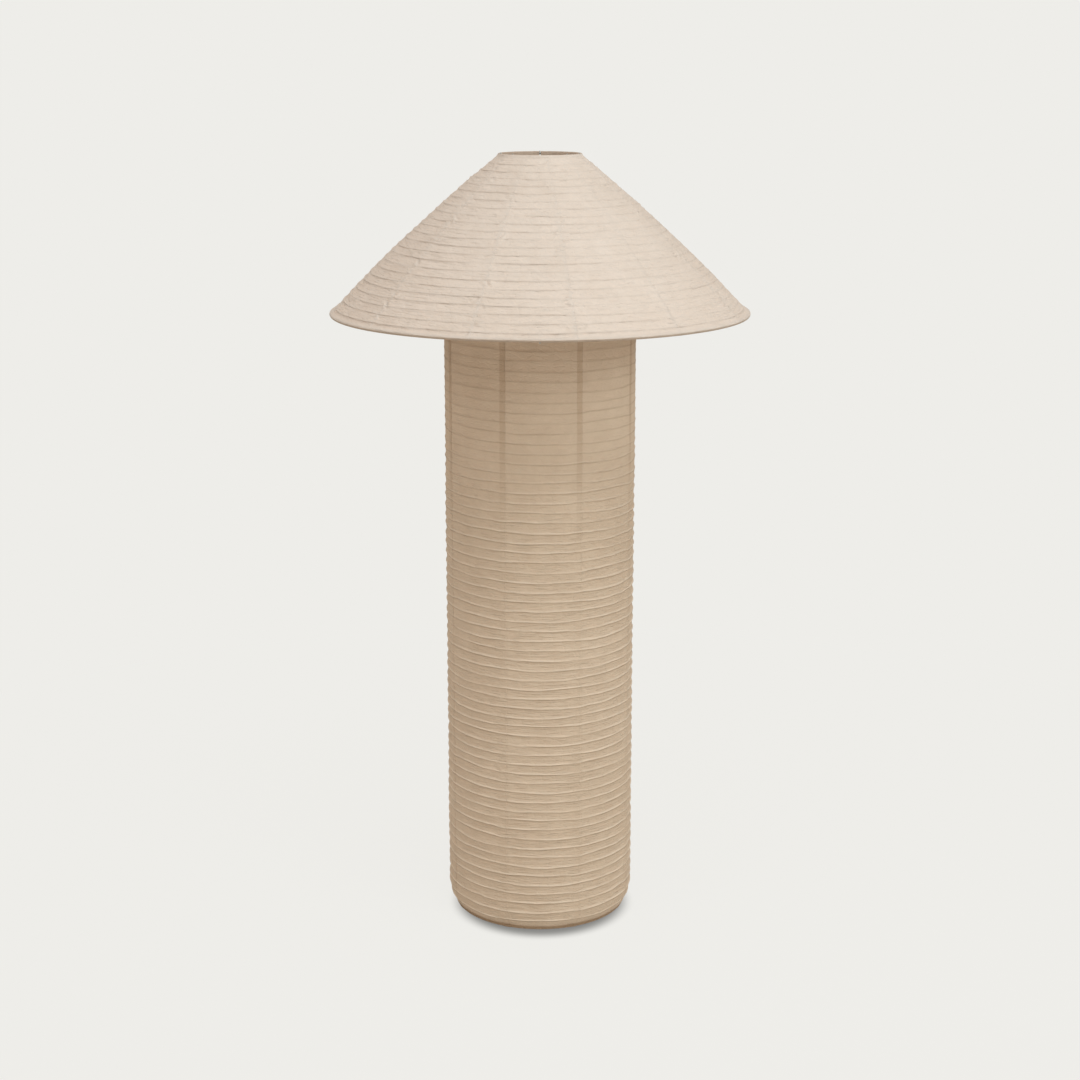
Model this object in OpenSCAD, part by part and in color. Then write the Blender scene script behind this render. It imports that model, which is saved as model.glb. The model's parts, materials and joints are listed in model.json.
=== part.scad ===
// Paper lantern floor lamp: a ribbed paper column and a ribbed paper hat,
// both carried by one steel pole on a heavy base plate.
// The origin is on the floor under the pole, +Z is up and -Y is the front.

/* [Column] */
// Outside radius of the paper column at its hoops
column_r = 150; // [120:1:180]
// Number of bays between the bottom ring and the top ring
column_bays = 63; // [50:1:76]
// Height of one bay
column_pitch = 15.5; // [13:0.1:18.6]
// Height of the bottom ring above the floor
bottom_ring_z = 3.5; // [3:0.1:6]
// How far the paper draws in between two hoops
column_dip = 1.2; // [0.6:0.1:2]
// How far the bottom ring lies in from the hoops above
foot_draw = 11; // [6:0.5:13]
// Number of bays over which the column draws in at its foot
foot_bays = 2; // [1:1:3]

/* [Shade] */
// Radius of the paper at the first hoop under the top edge
shade_top_r = 66; // [60:1:79]
// Radius of the paper at the last hoop above the rim
shade_low_r = 315; // [262:1:378]
// Height of the paper cone between those two radii
shade_drop = 228; // [190:1:273]
// How far the rim hoop stands out past the last hoop
rim_flare = 7; // [5:0.5:14]
// How far the rim hoop lies below the last hoop
rim_drop = 9.5; // [8:0.5:12]
// Outward bulge of the cone at mid height
shade_bulge = 6; // [3:0.1:8]
// Number of bays between the first and the last hoop
shade_bays = 22; // [18:1:26]
// How far the paper draws in between two hoops
shade_dip = 0.9; // [0.5:0.1:1.5]
// Height of the rim hoop above the column's top ring
rim_rise = -5.5; // [-10:0.5:10]

/* [Paper and wire] */
// Thickness of the paper skins
paper_t = 0.6; // [0.5:0.05:0.9]
// Radius of the thin hoops under the paper
hoop_r = 0.8; // [0.6:0.05:1]
// Radius of the column's top and bottom rings
ring_wire_r = 2; // [1.6:0.1:2.4]
// Radius of the shade's rim hoop
rim_wire_r = 2.4; // [2:0.1:2.9]
// Radius of the shade's top ring
top_wire_r = 1.8; // [1.5:0.1:2.2]
// Radius of the four struts that spread the shade
strut_r = 1.25; // [1:0.05:1.5]
// Radius of the spokes and of the hub arms
spoke_r = 2; // [1.6:0.1:2.4]

/* [Base] */
// Gap between the base plate and the bottom ring
base_gap = 9; // [7:0.5:12]
// Thickness of the base plate
base_t = 8; // [7:0.5:10]
// Height of the rubber feet
foot_h = 3; // [2.5:0.5:4]
// Radius of one rubber foot
foot_r = 12; // [10:0.5:15]
// Radius of the base bolt's shank
bolt_r = 4; // [3:0.5:5]

/* [Pole] */
// Outside radius of the pole
pole_r = 8; // [7:0.5:9.5]
// Wall of the pole
pole_wall = 1.2; // [1:0.1:1.4]
// Height of the arm that carries the lower lampholder
arm_z = 520; // [420:5:620]
// Distance from the pole to the lower lampholder
arm_reach = 56; // [50:1:68]
// Radius of the bend in that arm
arm_bend_r = 14; // [12:0.5:17]
// Outside radius of the arm, and of the threaded nipples
nipple_r = 5; // [4.5:0.1:6]
// Bore radius of the arm and of the nipples
nipple_bore_r = 3.4; // [3.2:0.1:4]

/* [Lampholder and bulb] */
// Outside radius of the lampholder
holder_r = 19.5; // [18:0.5:23]
// Height of the lampholder
holder_h = 58; // [54:1:66]
// Radius of the bulb's screw cap
cap_r = 13.1; // [13:0.05:13.2]
// Radius of the bulb's glass
bulb_r = 30; // [25:0.5:33]
// Length of the bulb from its contact to its crown
bulb_len = 108; // [95:1:115]
// Radius of the lead inside the pole
lead_r = 2.4; // [2:0.1:2.6]

/* [Harp] */
// Radius of the harp's wire
harp_wire_r = 2; // [1.6:0.1:2.4]
// Half the width of the harp at its foot
harp_foot_x = 34; // [30:0.5:40]
// Half the width of the harp round the bulb
harp_r = 44; // [41:0.5:52]
// Radius of the two bends above the harp's foot
harp_bend_r = 15; // [12:0.5:18]
// Radius of the stud that the finial screws on
stud_r = 3; // [2.5:0.1:3.6]

/* [Hidden] */
$fn = 96;

// Clearances
fit = 0.1;          // between a spigot and its socket
thread_fit = 0.05;  // between a screw and its hole
glue = 0.15;        // between a wire and the paper glued over it
run_gap = 0.2;      // between flat faces that turn or lift apart
turn_gap = 0.3;     // between a shaft and a ring that turns or lifts on it
eps = 0.01;         // how far a cut runs past a face
thin_sides = 8;     // sides of a thin hoop's section
bead = 0.05;        // how far a bead stands proud of the wire whose lengths it joins
bead_cut = 0.2;     // how far each length stops short of the bead's middle

// Levels of the base and the pole
plate_z = foot_h;
plate_top = plate_z + base_t;
base_r = column_r - foot_draw - paper_t - glue - 2 * ring_wire_r - base_gap;
sink_r = 14;
sink_depth = base_t - 2.4;
washer_t = 0.8;
bolt_head_h = 4.2;
foot_wall = 11;                       // solid floor of the pole foot
foot_cavity_z = plate_top + foot_wall;
pole_foot_r = 2 * pole_r;
gland_z = foot_cavity_z + 11;
lead_bend_r = pole_r - pole_wall + 0.2;
pole_seat_z = gland_z + lead_bend_r + 4;
pole_socket = 12;
pole_bore_r = pole_r - pole_wall;

// Levels of the column
column_top_z = bottom_ring_z + column_bays * column_pitch;
ring_r = column_r - paper_t - glue - ring_wire_r;
foot_ring_r = ring_r - foot_draw;
foot_slope = atan(foot_draw / (foot_bays * column_pitch));
hub_h = 8;
hub_r = pole_r + 7;
hub_z = column_top_z - hub_h / 2;
collar_h = 12;
collar_r = pole_r + 8;
collar_z = hub_z - run_gap - collar_h;

// Cluster body that joins the two lengths of pole and holds the side arm
cluster_r = pole_r + 10;
cluster_wall = 3;
cluster_h = 40;
cluster_z = arm_z - cluster_h / 2;
cluster_cavity_r = cluster_r - cluster_wall;
cluster_floor = 10;
cluster_cap_h = 5;
cluster_top = cluster_z + cluster_h;
splice_w = 16;
splice_d = 9;
splice_h = 10;

// Upper end of the pole
pole_top = hub_z + hub_h + 16;
plug_flange = 3;
strap_t = 2;
saddle_z = pole_top + plug_flange;
upper_holder_z = saddle_z + strap_t;
lower_holder_z = arm_z + arm_bend_r + 12;

// Lampholder, measured from its own foot
holder_wall = 1.6;
holder_cap_h = 18;
insert_z = holder_cap_h + 2;
insert_h = 6;
contact_z = insert_z + insert_h;
sleeve_wall = 0.8;
sleeve_gap = 0.5;
bulb_z = contact_z + 2.4;
bulb_cap_h = 27;

// Harp
leg_foot_h = 25;
bend_angle = acos(1 - (harp_r - harp_foot_x) / (2 * harp_bend_r));
bend_h = 2 * harp_bend_r * sin(bend_angle);
leg_z = upper_holder_z;
harp_top_z = upper_holder_z + bulb_z + bulb_len - 10;
boss_r = 6;
boss_h = 10;
boss_z = harp_top_z + harp_r - boss_h / 2;
table_r = 13;
table_t = 2;
table_z = boss_z + boss_h;
stud_h = 12;
washer_z = table_z + table_t + run_gap;
hub_washer_t = 1;
shade_hub_z = washer_z + hub_washer_t + run_gap;
shade_hub_t = 2.5;
shade_hub_r = 14;
finial_z = shade_hub_z + shade_hub_t + run_gap;
finial_r = 8;
finial_h = 12;

// Shade: a line from the first hoop to the last one, and the rim outside it
rim_z = column_top_z + rim_rise;
rim_ring_r = shade_low_r + rim_flare;
low_z = rim_z + rim_drop;
top_z = low_z + shade_drop;
line_len = norm([shade_low_r - shade_top_r, shade_drop]);
along = [shade_low_r - shade_top_r, -shade_drop] / line_len;
outward = [-along[1], along[0]];
top_ring_r = shade_top_r - 3.6;
top_ring_z = top_z + 1.2;

// Point of the shade's outside, u bays along the line, v out of the line
function shade_point(u, v) =
    [shade_top_r, top_z] + along * line_len * u / shade_bays
    + outward * (v + shade_bulge * 4 * (u / shade_bays) * (1 - u / shade_bays));

bay_steps = 5;
function bay(k) = 4 * (k / bay_steps) * (1 - k / bay_steps);
function arc_points(c, r, a0, a1, n) =
    [for (i = [0 : n]) c + r * [cos(a0 + (a1 - a0) * i / n), sin(a0 + (a1 - a0) * i / n)]];

// Angle round the centre c at which a line from the point p touches a circle of radius r
function touch_angle(c, r, p) = atan2(p[1] - c[1], p[0] - c[0]) - acos(r / norm(p - c));

// How far the column has drawn in, b bays above the bottom ring
function foot_in(b) = foot_draw * max(0, 1 - b / foot_bays);

// Radius of the column's thin hoop b, which lies a little further in where the paper slopes
function column_hoop_r(b) = column_r - foot_in(b) - paper_t
    - (glue + hoop_r) / (b > foot_bays ? 1 : cos(foot_slope));

// One side of the column's paper, inset from its outside
function column_side(inset) = [for (b = [0 : column_bays - 1], k = [0 : bay_steps - 1])
    [column_r - foot_in(b + k / bay_steps) - inset - column_dip * bay(k),
        bottom_ring_z + (b + k / bay_steps) * column_pitch]];

// One side of the shade's paper between the first and the last hoop
function shade_side(inset) = [for (b = [0 : shade_bays - 1], k = [0 : bay_steps - 1])
    shade_point(b + k / bay_steps, -inset - shade_dip * bay(k))];

// ---- shapes used more than once ----

// A wire hoop lying flat; the thin hoops, which repeat, have an eight-sided section
module hoop(ring, wire, z, sides = 24) {
    translate([0, 0, z]) rotate_extrude() translate([ring, 0]) rotate(180 / sides)
        circle(r = wire, $fn = sides);
}

// A tube, or a rod when its bore is 0
module tube(r, bore, z0, z1) {
    difference() {
        translate([0, 0, z0]) cylinder(r = r, h = z1 - z0);
        if (bore > 0) translate([0, 0, z0 - eps]) cylinder(r = bore, h = z1 - z0 + 2 * eps);
    }
}

// Part of a bent rod in the XZ plane, round the point [x, z], from angle a0 over sweep
module bend_xz(x, z, r, wire, a0, sweep, bore = 0) {
    translate([x, 0, z]) rotate([90, 0, 0]) rotate([0, 0, a0]) rotate_extrude(angle = sweep)
        translate([r, 0]) difference() {
            circle(r = wire, $fn = 32);
            if (bore > 0) circle(r = bore, $fn = 32);
        }
}

// A straight rod between two points [x, z] of the XZ plane
module rod_xz(a, b, wire) {
    d = b - a;
    translate([a[0], 0, a[1]]) rotate([0, atan2(d[0], d[1]), 0]) cylinder(r = wire, h = norm(d), $fn = 32);
}

// Lengths of one bent wire: a straight, a bend, and the bead between two of them
module wire_straight(a, b, wire) {
    d = (b - a) / norm(b - a);
    rod_xz(a + d * bead_cut, b - d * bead_cut, wire);
}

module wire_bend(x, z, r, wire, a0, sweep) {
    cut = bead_cut / r * 180 / PI;
    bend_xz(x, z, r, wire, a0 + cut, sweep - 2 * cut);
}

module wire_bead(p, wire) {
    translate([p[0], 0, p[1]]) sphere(r = wire + bead);
}

// A closed revolve of an outline of [radius, height] points
module turned(points) {
    rotate_extrude() polygon(points);
}

// ---- base ----

module base_plate() {
    edge = 1.5;
    color([0.13, 0.12, 0.12]) difference() {
        turned([[0, plate_z], [base_r - edge, plate_z], [base_r, plate_z + edge],
            [base_r, plate_top - edge], [base_r - edge, plate_top], [0, plate_top]]);
        translate([0, 0, plate_z - eps]) cylinder(r = sink_r, h = sink_depth + eps);
        translate([0, 0, plate_z]) cylinder(r = bolt_r + turn_gap, h = base_t + 1);
    }
}

module base_feet() {
    reach = base_r - foot_r - 12;
    color([0.2, 0.2, 0.2]) for (i = [0 : 3]) rotate([0, 0, 45 + 90 * i]) translate([reach, 0, 0])
        turned([[0, 0], [foot_r - 0.8, 0], [foot_r, 0.8], [foot_r, foot_h], [0, foot_h]]);
}

module base_washer() {
    color([0.7, 0.7, 0.68])
        tube(bolt_r + 5.5, bolt_r + turn_gap, plate_z + sink_depth - washer_t, plate_z + sink_depth);
}

module base_bolt() {
    head_z = plate_z + sink_depth - washer_t - bolt_head_h;
    color([0.62, 0.62, 0.6]) {
        translate([0, 0, head_z]) cylinder(r = bolt_r * 2.1, h = bolt_head_h, $fn = 6);
        translate([0, 0, head_z]) cylinder(r = bolt_r, h = foot_cavity_z - 1 - head_z);
    }
}

// Turned foot that the pole stands in, with the cord's entry at the back
module pole_foot() {
    flange_r = 30;
    top = pole_seat_z + pole_socket;
    shaft_r = pole_foot_r;
    flare = 8;
    color([0.13, 0.12, 0.12]) difference() {
        turned(concat([[0, plate_top], [flange_r, plate_top], [flange_r, plate_top + 3]],
            arc_points([flange_r - 1, plate_top + 3], 1, 0, 90, 4),
            arc_points([shaft_r + flare, plate_top + 4 + flare], flare, 270, 180, 10),
            [[shaft_r, top - 1.5], [shaft_r - 1.5, top], [0, top]]));
        translate([0, 0, plate_top - eps]) cylinder(r = bolt_r + thread_fit, h = foot_wall + 1);
        translate([0, 0, foot_cavity_z]) cylinder(r = pole_bore_r + 0.4, h = top);
        translate([0, 0, pole_seat_z]) cylinder(r = pole_r + fit, h = top);
        translate([0, 0, gland_z]) rotate([-90, 0, 0]) {
            cylinder(r = lead_r + 1.5 + fit, h = flange_r);
            translate([0, 0, shaft_r - 1.2]) cylinder(r = lead_r + 4, h = flange_r);
        }
    }
}

module cord_gland() {
    sleeve_y = pole_bore_r + 1.6;
    flange_y = pole_foot_r - 1.2;
    color([0.08, 0.08, 0.08]) translate([0, 0, gland_z]) rotate([-90, 0, 0]) difference() {
        union() {
            translate([0, 0, sleeve_y]) cylinder(r = lead_r + 1.5, h = flange_y - sleeve_y + 1);
            translate([0, 0, flange_y]) cylinder(r = lead_r + 3.4, h = 3.4);
        }
        cylinder(r = lead_r + fit, h = pole_foot_r + 6);
    }
}

// ---- pole ----

module lower_pole() {
    color([0.16, 0.15, 0.15]) tube(pole_r, pole_bore_r, pole_seat_z, cluster_z + cluster_floor);
}

module cluster_body() {
    color([0.13, 0.12, 0.12]) difference() {
        turned([[0, cluster_z], [cluster_r - 6, cluster_z], [cluster_r, cluster_z + 6],
            [cluster_r, cluster_top - cluster_cap_h], [0, cluster_top - cluster_cap_h]]);
        translate([0, 0, cluster_z - eps]) cylinder(r = pole_r + fit, h = cluster_floor + eps);
        translate([0, 0, cluster_z]) cylinder(r = pole_bore_r, h = cluster_h);
        translate([0, 0, cluster_z + cluster_floor + 2]) cylinder(r = cluster_cavity_r, h = cluster_h);
        translate([0, 0, arm_z]) rotate([0, 90, 0]) cylinder(r = nipple_r + thread_fit, h = 2 * cluster_r);
    }
}

module cluster_cap() {
    base = cluster_top - cluster_cap_h;
    color([0.13, 0.12, 0.12]) difference() {
        turned([[0, base - 3], [cluster_cavity_r - fit, base - 3], [cluster_cavity_r - fit, base],
            [cluster_r, base], [cluster_r, base + 1], [cluster_r - 4, cluster_top], [0, cluster_top]]);
        translate([0, 0, base]) cylinder(r = pole_r + fit, h = cluster_cap_h + eps);
        translate([0, 0, base - 4]) cylinder(r = pole_bore_r, h = cluster_cap_h);
    }
}

// Terminal block in the cluster body, with a screw well over each wire
module splice_block() {
    wells = 3;
    color([0.92, 0.9, 0.84]) translate([0, 0, arm_z - splice_h / 2]) difference() {
        translate([-splice_w / 2, -splice_d / 2, 0]) cube([splice_w, splice_d, splice_h]);
        for (i = [0 : wells - 1]) translate([(i - 1) * splice_w / wells, -splice_d, splice_h / 2])
            rotate([-90, 0, 0]) cylinder(r = 1.6, h = splice_d);
    }
}

// Bent tube from the cluster body to the lower lampholder
module holder_arm() {
    start = cluster_cavity_r + 0.5;
    color([0.16, 0.15, 0.15]) {
        translate([0, 0, arm_z]) rotate([0, 90, 0])
            tube(nipple_r, nipple_bore_r, start, arm_reach - arm_bend_r);
        bend_xz(arm_reach - arm_bend_r, arm_z + arm_bend_r, arm_bend_r, nipple_r, 270, 90, nipple_bore_r);
        translate([arm_reach, 0, 0])
            tube(nipple_r, nipple_bore_r, arm_z + arm_bend_r, lower_holder_z + 6);
    }
}

module arm_nut() {
    color([0.75, 0.62, 0.35]) translate([cluster_r, 0, arm_z]) rotate([0, 90, 0]) difference() {
        cylinder(r = nipple_r * 1.7, h = 3.5, $fn = 6);
        translate([0, 0, -eps]) cylinder(r = nipple_r + thread_fit, h = 4);
    }
}

module upper_pole() {
    color([0.16, 0.15, 0.15]) tube(pole_r, pole_bore_r, cluster_top - cluster_cap_h, pole_top);
}

// ---- lampholders and bulbs, drawn from the lampholder's own foot ----

module holder_cap_shape() {
    neck_r = 8;
    dome_r = holder_r - 1 - neck_r;
    color([0.93, 0.91, 0.86]) difference() {
        turned(concat([[0, 0], [neck_r, 0]], arc_points([neck_r, holder_cap_h], dome_r, -90, 0, 12),
            [[0, holder_cap_h]]));
        turned(concat([[0, holder_cap_h + 1], [0, holder_cap_h - dome_r + holder_wall]],
            arc_points([neck_r, holder_cap_h], dome_r - holder_wall, -90, 0, 10),
            [[neck_r + dome_r - holder_wall, holder_cap_h + 1]]));
        translate([0, 0, -eps]) cylinder(r = nipple_r + thread_fit, h = holder_cap_h);
    }
}

module holder_shell_shape() {
    ribs = 24;
    color([0.93, 0.91, 0.86]) difference() {
        turned([[0, holder_cap_h], [holder_r - 0.6, holder_cap_h], [holder_r, holder_cap_h + 0.6],
            [holder_r, holder_h - 1], [holder_r - 1, holder_h], [0, holder_h]]);
        translate([0, 0, holder_cap_h - eps]) cylinder(r = holder_r - holder_wall, h = holder_h);
        for (i = [0 : ribs - 1]) rotate([0, 0, 360 * i / ribs])
            translate([holder_r + 0.4, 0, holder_cap_h + 4]) cylinder(r = 0.9, h = 14, $fn = 24);
    }
}

module holder_insert_shape() {
    r = holder_r - holder_wall - fit;
    color([0.96, 0.95, 0.92]) difference() {
        translate([0, 0, insert_z]) cylinder(r = r, h = insert_h);
        for (x = [-10, 10]) translate([x, 0, insert_z - eps]) cylinder(r = 1.8, h = 3, $fn = 24);
        translate([0, 0, insert_z - eps]) cylinder(r = lead_r + fit, h = 2.5);
    }
}

// Screw sleeve and centre contact
module holder_contacts_shape() {
    bore = cap_r + sleeve_gap;
    color([0.8, 0.66, 0.36]) {
        tube(bore + sleeve_wall, bore, contact_z, holder_h - 8);
        translate([0, 0, contact_z]) cylinder(r = 4, h = 1);
        translate([0, 0, contact_z + 1]) cylinder(r = 2.5, h = 1.2);
    }
}

module bulb_cap_shape() {
    tip = 3;
    color([0.78, 0.78, 0.76]) turned([[0, bulb_z], [4, bulb_z], [4.5, bulb_z + 1], [9, bulb_z + tip],
        [cap_r - 1.5, bulb_z + tip + 1.5], [cap_r, bulb_z + tip + 3], [cap_r, bulb_z + bulb_cap_h],
        [0, bulb_z + bulb_cap_h]]);
}

module bulb_glass_shape() {
    neck = bulb_z + bulb_cap_h;
    centre = bulb_z + bulb_len - bulb_r;
    neck_r = cap_r + 0.8;
    neck_angle = -52;
    from = [bulb_r * cos(neck_angle), bulb_r * sin(neck_angle)];
    wall = 1;
    color([0.97, 0.96, 0.93]) difference() {
        turned(concat([[0, neck], [neck_r, neck], [neck_r + 0.5, neck + 5]],
            arc_points([0, centre], bulb_r, neck_angle, 90, 24)));
        turned(concat([[0, neck - eps], [neck_r - wall, neck - eps], [neck_r + 0.5 - wall, neck + 5]],
            arc_points([0, centre], bulb_r - wall, neck_angle, 90, 24)));
    }
}

module at_lower() { translate([arm_reach, 0, lower_holder_z]) children(); }
module at_upper() { translate([0, 0, upper_holder_z]) children(); }

module lower_holder_cap() { at_lower() holder_cap_shape(); }
module lower_holder_shell() { at_lower() holder_shell_shape(); }
module lower_holder_insert() { at_lower() holder_insert_shape(); }
module lower_holder_contacts() { at_lower() holder_contacts_shape(); }
module lower_bulb_cap() { at_lower() bulb_cap_shape(); }
module lower_bulb_glass() { at_lower() bulb_glass_shape(); }
module upper_holder_cap() { at_upper() holder_cap_shape(); }
module upper_holder_shell() { at_upper() holder_shell_shape(); }
module upper_holder_insert() { at_upper() holder_insert_shape(); }
module upper_holder_contacts() { at_upper() holder_contacts_shape(); }
module upper_bulb_cap() { at_upper() bulb_cap_shape(); }
module upper_bulb_glass() { at_upper() bulb_glass_shape(); }

// ---- leads inside the pole and the arm ----

module supply_lead() {
    color([0.85, 0.84, 0.8]) {
        translate([0, 0, gland_z]) rotate([-90, 0, 0])
            translate([0, 0, lead_bend_r]) cylinder(r = lead_r, h = pole_foot_r + 2 - lead_bend_r);
        rotate([0, 0, 90]) bend_xz(lead_bend_r, gland_z + lead_bend_r, lead_bend_r, lead_r, 180, 90);
        tube(lead_r, 0, gland_z + lead_bend_r, arm_z - splice_h / 2);
    }
}

module arm_lead() {
    color([0.85, 0.84, 0.8]) {
        translate([0, 0, arm_z]) rotate([0, 90, 0]) tube(lead_r, 0, splice_w / 2, arm_reach - arm_bend_r);
        bend_xz(arm_reach - arm_bend_r, arm_z + arm_bend_r, arm_bend_r, lead_r, 270, 90);
        translate([arm_reach, 0, 0]) tube(lead_r, 0, arm_z + arm_bend_r, lower_holder_z + insert_z + 2);
    }
}

module upper_lead() {
    color([0.85, 0.84, 0.8]) tube(lead_r, 0, arm_z + splice_h / 2, upper_holder_z + insert_z + 2);
}

// ---- column ----

module frame_collar() {
    color([0.75, 0.62, 0.35]) difference() {
        turned([[0, collar_z], [collar_r - 1, collar_z], [collar_r, collar_z + 1],
            [collar_r, collar_z + collar_h - 1], [collar_r - 1, collar_z + collar_h],
            [0, collar_z + collar_h]]);
        translate([0, 0, collar_z - 1]) cylinder(r = pole_r + fit, h = collar_h + 2);
        translate([0, 0, collar_z + collar_h / 2]) rotate([90, 0, 0])
            cylinder(r = 2.5 + thread_fit, h = 2 * collar_r);
    }
}

// Knurled thumb screw that clamps the collar to the pole
module collar_screw() {
    head_r = 5.5;
    flutes = 20;
    color([0.75, 0.62, 0.35]) translate([0, 0, collar_z + collar_h / 2]) rotate([90, 0, 0]) {
        translate([0, 0, pole_r + run_gap]) cylinder(r = 2.5, h = collar_r + 2 - pole_r - run_gap);
        difference() {
            translate([0, 0, collar_r + 2]) cylinder(r = head_r, h = 7);
            for (i = [0 : flutes - 1]) rotate([0, 0, 360 * i / flutes])
                translate([head_r + 0.3, 0, collar_r + 1]) cylinder(r = 0.7, h = 9, $fn = 16);
        }
    }
}

// Ring, four spokes and the hub that turns on the pole
module column_top_frame() {
    color([0.6, 0.58, 0.55]) {
        hoop(ring_r, ring_wire_r, column_top_z);
        tube(hub_r, pole_r + turn_gap, hub_z, hub_z + hub_h);
        for (i = [0 : 3]) rotate([0, 0, 45 + 90 * i]) translate([0, 0, column_top_z]) rotate([0, 90, 0])
            translate([0, 0, hub_r - 2]) cylinder(r = spoke_r, h = ring_r - hub_r + 2, $fn = 32);
    }
}

module column_bottom_ring() {
    color([0.6, 0.58, 0.55]) hoop(foot_ring_r, ring_wire_r, bottom_ring_z);
}

module column_ribs() {
    color([0.55, 0.5, 0.44]) for (b = [1 : column_bays - 1])
        hoop(column_hoop_r(b), hoop_r, bottom_ring_z + b * column_pitch, thin_sides);
}

// Paper skin: drawn in between the hoops, and wrapped round the top and bottom rings
module column_paper() {
    wrap = ring_wire_r + glue;
    low = [foot_ring_r, bottom_ring_z];
    high = [ring_r, column_top_z];
    outer = concat(arc_points(low, wrap + paper_t, -110, -10, 8), column_side(0),
        arc_points(high, wrap + paper_t, 0, 110, 8));
    inner = concat(arc_points(low, wrap, -110, -10, 8), column_side(paper_t),
        arc_points(high, wrap, 0, 110, 8));
    color([0.88, 0.81, 0.72]) turned(concat(outer, [for (i = [len(inner) - 1 : -1 : 0]) inner[i]]));
}

// ---- harp ----

// Threaded plug in the pole's top end
module pole_plug() {
    color([0.75, 0.62, 0.35]) difference() {
        union() {
            translate([0, 0, pole_top - 16]) cylinder(r = pole_bore_r - fit, h = 16);
            translate([0, 0, pole_top]) cylinder(r = pole_r, h = plug_flange);
            translate([0, 0, saddle_z]) cylinder(r = nipple_r, h = strap_t + 6);
        }
        translate([0, 0, pole_top - 17]) cylinder(r = nipple_bore_r, h = 40);
    }
}

// Strap under the lampholder with a socket for each leg of the harp
module harp_saddle() {
    socket_h = 14;
    strap_w = 14;
    color([0.75, 0.62, 0.35]) difference() {
        union() {
            translate([-harp_foot_x, -strap_w / 2, saddle_z]) cube([2 * harp_foot_x, strap_w, strap_t]);
            for (s = [-1, 1]) translate([s * harp_foot_x, 0, saddle_z]) {
                cylinder(r = strap_w / 2, h = strap_t);
                cylinder(r = harp_wire_r + 1.6, h = socket_h);
            }
        }
        translate([0, 0, saddle_z - eps]) cylinder(r = nipple_r + fit, h = strap_t + 1);
        for (s = [-1, 1]) translate([s * harp_foot_x, 0, leg_z])
            cylinder(r = harp_wire_r + fit, h = socket_h);
    }
}

module harp_leg() {
    foot_top = leg_z + leg_foot_h;
    bend_top = foot_top + bend_h;
    wire_straight([harp_foot_x, leg_z - bead_cut], [harp_foot_x, foot_top], harp_wire_r);
    wire_bead([harp_foot_x, foot_top], harp_wire_r);
    wire_bend(harp_foot_x + harp_bend_r, foot_top, harp_bend_r, harp_wire_r, 180 - bend_angle, bend_angle);
    wire_bead([(harp_foot_x + harp_r) / 2, foot_top + bend_h / 2], harp_wire_r);
    wire_bend(harp_r - harp_bend_r, bend_top, harp_bend_r, harp_wire_r, -bend_angle, bend_angle);
    wire_bead([harp_r, bend_top], harp_wire_r);
    wire_straight([harp_r, bend_top], [harp_r, harp_top_z], harp_wire_r);
    wire_bead([harp_r, harp_top_z], harp_wire_r);
}

// Bent wire round the bulb, with the table and stud that carry the shade
module harp() {
    color([0.75, 0.62, 0.35]) {
        harp_leg();
        mirror([1, 0, 0]) harp_leg();
        wire_bend(0, harp_top_z, harp_r, harp_wire_r, 0, 180);
        translate([0, 0, boss_z]) cylinder(r = boss_r, h = boss_h);
        translate([0, 0, table_z]) cylinder(r = table_r, h = table_t);
        translate([0, 0, table_z + table_t]) cylinder(r = stud_r, h = stud_h);
    }
}

// ---- shade ----

module hub_washer() {
    color([0.9, 0.9, 0.88]) tube(table_r - 1, stud_r + turn_gap, washer_z, washer_z + hub_washer_t);
}

// Top ring, four rising arms and the hub that sits on the harp
module shade_top_frame() {
    from = [shade_hub_r - 3, shade_hub_z + shade_hub_t / 2];
    to = [top_ring_r - top_wire_r / 2, top_ring_z - 0.6];
    color([0.6, 0.58, 0.55]) {
        hoop(top_ring_r, top_wire_r, top_ring_z);
        for (i = [0 : 3]) rotate([0, 0, 45 + 90 * i]) rod_xz(from, to, spoke_r * 0.6);
        tube(shade_hub_r, stud_r + turn_gap, shade_hub_z, shade_hub_z + shade_hub_t);
    }
}

module shade_rim_hoop() {
    color([0.55, 0.5, 0.44]) hoop(rim_ring_r, rim_wire_r, rim_z);
}

// Wire strut from the top ring to the rim hoop, hooked round both
module shade_strut() {
    top = [top_ring_r, top_ring_z];
    low = [rim_ring_r, rim_z];
    d = (low - top) / norm(low - top);
    inward = [d[1], -d[0]];
    top_hook = top_wire_r + glue + strut_r;
    low_hook = rim_wire_r + glue + strut_r;
    tangent = atan2(inward[1], inward[0]);
    top_sweep = 105;
    low_sweep = 42;
    top_end = top + inward * top_hook;
    low_end = low + inward * low_hook;
    wire_straight(top_end, low_end, strut_r);
    wire_bead(top_end, strut_r);
    wire_bead(low_end, strut_r);
    wire_bend(top[0], top[1], top_hook, strut_r, tangent - top_sweep, top_sweep);
    wire_bend(low[0], low[1], low_hook, strut_r, tangent, low_sweep);
}

module shade_struts() {
    color([0.6, 0.58, 0.55]) for (i = [0 : 3]) rotate([0, 0, 90 * i]) shade_strut();
}

module shade_ribs() {
    inset = paper_t + glue + hoop_r;
    color([0.55, 0.5, 0.44]) for (b = [0 : shade_bays]) {
        p = shade_point(b, -inset);
        hoop(p[0], hoop_r, p[1], thin_sides);
    }
}

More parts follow.
